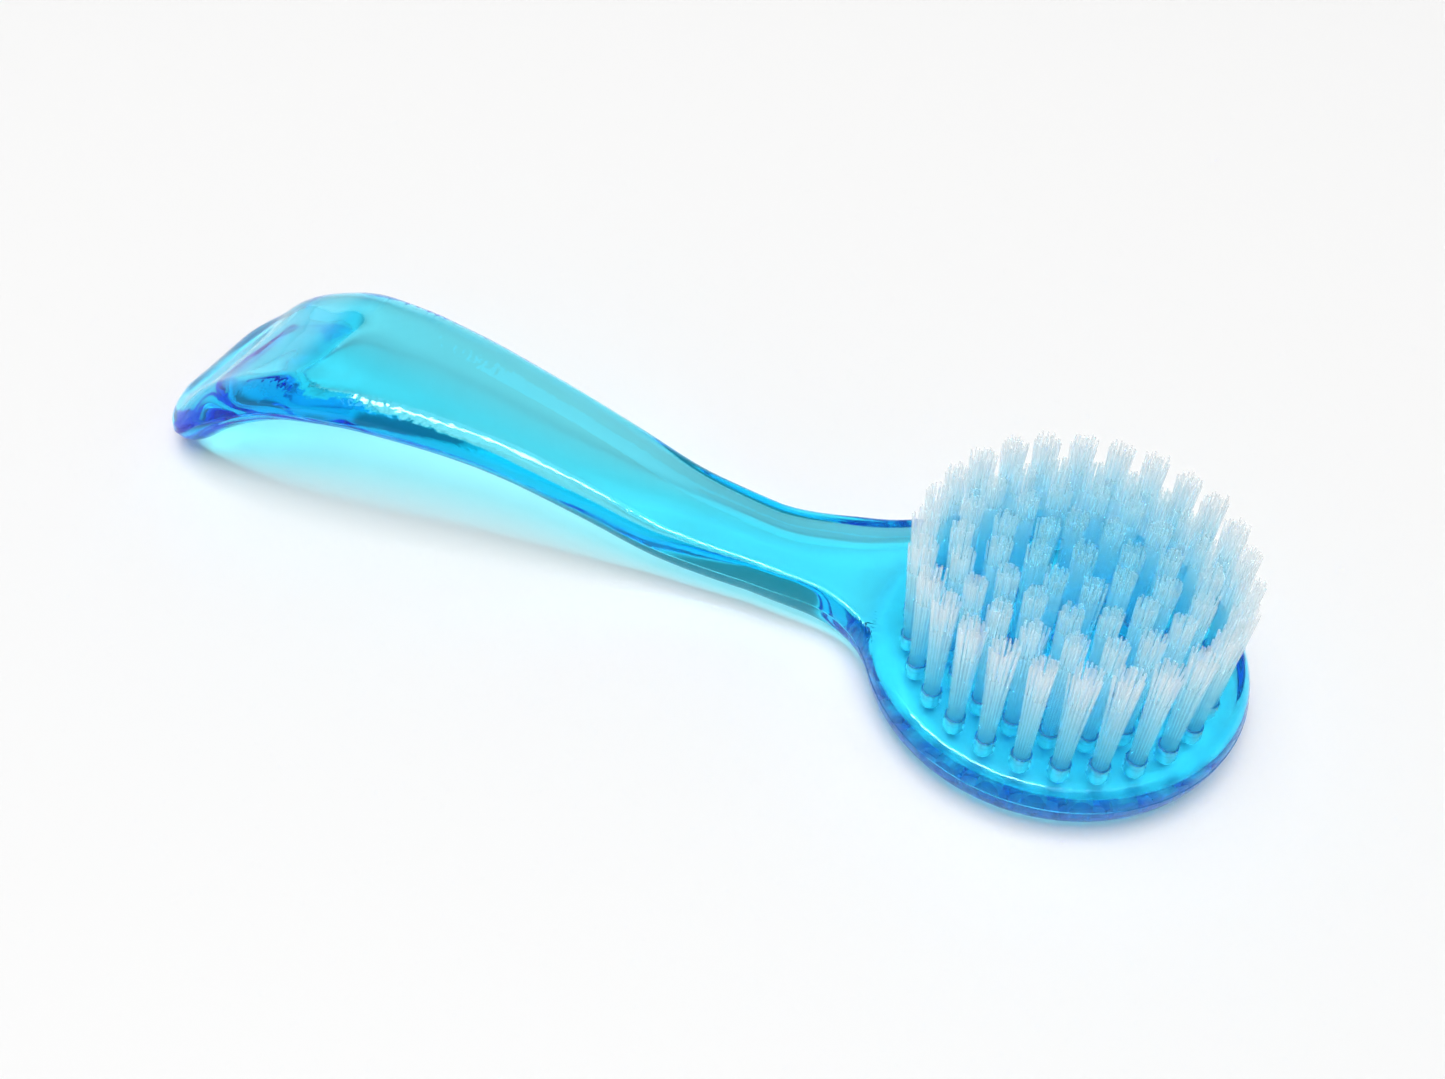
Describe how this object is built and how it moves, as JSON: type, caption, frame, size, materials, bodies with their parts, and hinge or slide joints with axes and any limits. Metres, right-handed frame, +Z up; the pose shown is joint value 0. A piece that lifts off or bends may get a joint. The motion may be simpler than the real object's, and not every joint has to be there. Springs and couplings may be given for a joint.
{
  "type": "nail dust brush",
  "caption": "Clear blue plastic hand brush with a round head of upright nylon tufts and an arched, flaring handle, for sweeping filing dust off nails.",
  "frame": {"origin": "middle of the head's flat back, which lies on the table", "axes": "+Z up through the bristles, the handle runs out along -X, Y across the head"},
  "size_m": [0.1356, 0.041, 0.0203],
  "materials": {
    "body": "clear, polished",
    "bristles": "translucent nylon"
  },
  "bodies": {
    "root": {"body": "body", "tuft_outer_01": "bristles", "tuft_outer_02": "bristles", "tuft_outer_03": "bristles", "tuft_outer_04": "bristles", "tuft_outer_05": "bristles", "tuft_outer_06": "bristles", "tuft_outer_07": "bristles", "tuft_outer_08": "bristles", "tuft_outer_09": "bristles", "tuft_outer_10": "bristles", "tuft_outer_11": "bristles", "tuft_outer_12": "bristles", "tuft_outer_13": "bristles", "tuft_outer_14": "bristles", "tuft_outer_15": "bristles", "tuft_outer_16": "bristles", "tuft_outer_17": "bristles", "tuft_outer_18": "bristles", "tuft_outer_19": "bristles", "tuft_outer_20": "bristles", "tuft_outer_21": "bristles", "tuft_outer_22": "bristles", "tuft_outer_23": "bristles", "tuft_outer_24": "bristles", "tuft_outer_25": "bristles", "tuft_outer_26": "bristles", "tuft_second_01": "bristles", "tuft_second_02": "bristles", "tuft_second_03": "bristles", "tuft_second_04": "bristles", "tuft_second_05": "bristles", "tuft_second_06": "bristles", "tuft_second_07": "bristles", "tuft_second_08": "bristles", "tuft_second_09": "bristles", "tuft_second_10": "bristles", "tuft_second_11": "bristles", "tuft_second_12": "bristles", "tuft_second_13": "bristles", "tuft_second_14": "bristles", "tuft_second_15": "bristles", "tuft_second_16": "bristles", "tuft_second_17": "bristles", "tuft_second_18": "bristles", "tuft_second_19": "bristles", "tuft_second_20": "bristles", "tuft_ring_third": "bristles", "tuft_fourth_01": "bristles", "tuft_fourth_02": "bristles", "tuft_fourth_03": "bristles", "tuft_fourth_04": "bristles", "tuft_fourth_05": "bristles", "tuft_fourth_06": "bristles", "tuft_fourth_07": "bristles", "tuft_fourth_08": "bristles", "tuft_middle": "bristles"}
  },
  "joints": []
}
